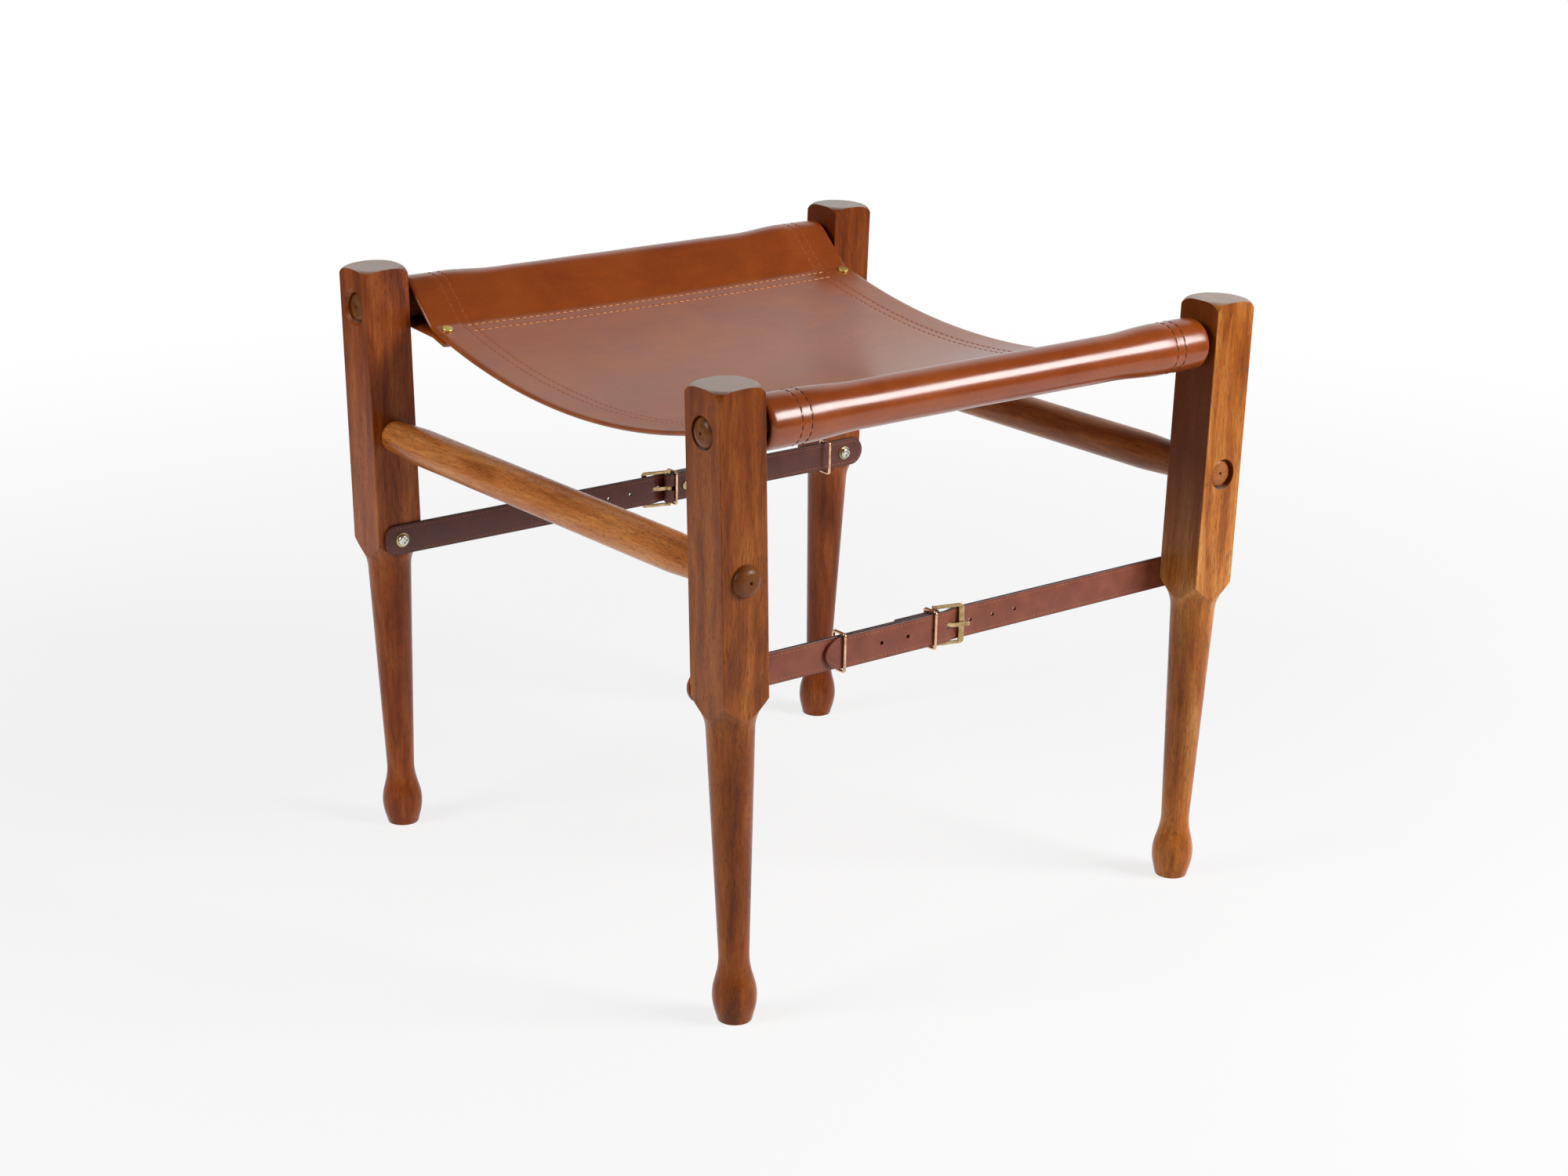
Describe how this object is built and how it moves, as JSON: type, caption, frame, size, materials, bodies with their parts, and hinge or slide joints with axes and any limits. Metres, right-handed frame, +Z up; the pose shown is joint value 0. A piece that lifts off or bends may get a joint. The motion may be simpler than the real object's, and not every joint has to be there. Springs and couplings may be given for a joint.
{
  "type": "safari stool",
  "caption": "Knock-down stool: turned hardwood legs, round rails and stretchers, a leather sling wrapped round the seat rails, and buckled leather straps between the legs.",
  "frame": {"origin": "on the floor under the middle of the seat", "axes": "+X along the leather-covered seat rails to the right, +Y along the bare side stretchers to the back, +Z up"},
  "size_m": [0.4906, 0.4902, 0.4536],
  "materials": {
    "hardwood": "oiled and waxed red-brown hardwood",
    "saddle_leather": "vegetable-tanned saddle leather, waxed",
    "bridle_leather": "dyed bridle leather, waxed",
    "brass": "aged brass",
    "zinc_plated_steel": "zinc-plated steel"
  },
  "bodies": {
    "frame": {"leg_front_left": "hardwood", "leg_front_right": "hardwood", "leg_back_left": "hardwood", "leg_back_right": "hardwood", "seat_rail_front": "hardwood", "seat_rail_back": "hardwood", "side_stretcher_left": "hardwood", "side_stretcher_right": "hardwood", "seat_leather": "saddle_leather", "seat_rivets": "brass", "front_strap_buckle_piece": "bridle_leather", "front_strap_billet": "bridle_leather", "front_buckle_frame": "brass", "front_fold_rivet": "brass", "back_strap_buckle_piece": "bridle_leather", "back_strap_billet": "bridle_leather", "back_buckle_frame": "brass", "back_fold_rivet": "brass", "strap_screws": "zinc_plated_steel", "strap_washers": "brass"},
    "front_prong": {"front_buckle_prong": "brass"},
    "back_prong": {"back_buckle_prong": "brass"},
    "front_near_keeper": {"front_keeper_near": "brass"},
    "front_far_keeper": {"front_keeper_far": "brass"},
    "back_near_keeper": {"back_keeper_near": "brass"},
    "back_far_keeper": {"back_keeper_far": "brass"}
  },
  "joints": [
    {"name": "front_prong_hinge", "type": "hinge", "parent": "frame", "child": "front_prong", "pos_m": [-0.021, -0.1968, 0.2416], "axis": [0, 0, -1], "range_deg": [0, 8]},
    {"name": "back_prong_hinge", "type": "hinge", "parent": "frame", "child": "back_prong", "pos_m": [0.033, 0.1968, 0.2416], "axis": [0, 0, -1], "range_deg": [0, 8]},
    {"name": "front_near_keeper_slide", "type": "slide", "parent": "frame", "child": "front_near_keeper", "axis": [-1, 0, 0], "range_m": [0, 0.02]},
    {"name": "front_far_keeper_slide", "type": "slide", "parent": "frame", "child": "front_far_keeper", "axis": [1, 0, 0], "range_m": [-0.079, 0.046]},
    {"name": "back_near_keeper_slide", "type": "slide", "parent": "frame", "child": "back_near_keeper", "axis": [1, 0, 0], "range_m": [0, 0.02]},
    {"name": "back_far_keeper_slide", "type": "slide", "parent": "frame", "child": "back_far_keeper", "axis": [-1, 0, 0], "range_m": [0, 0.13]}
  ]
}
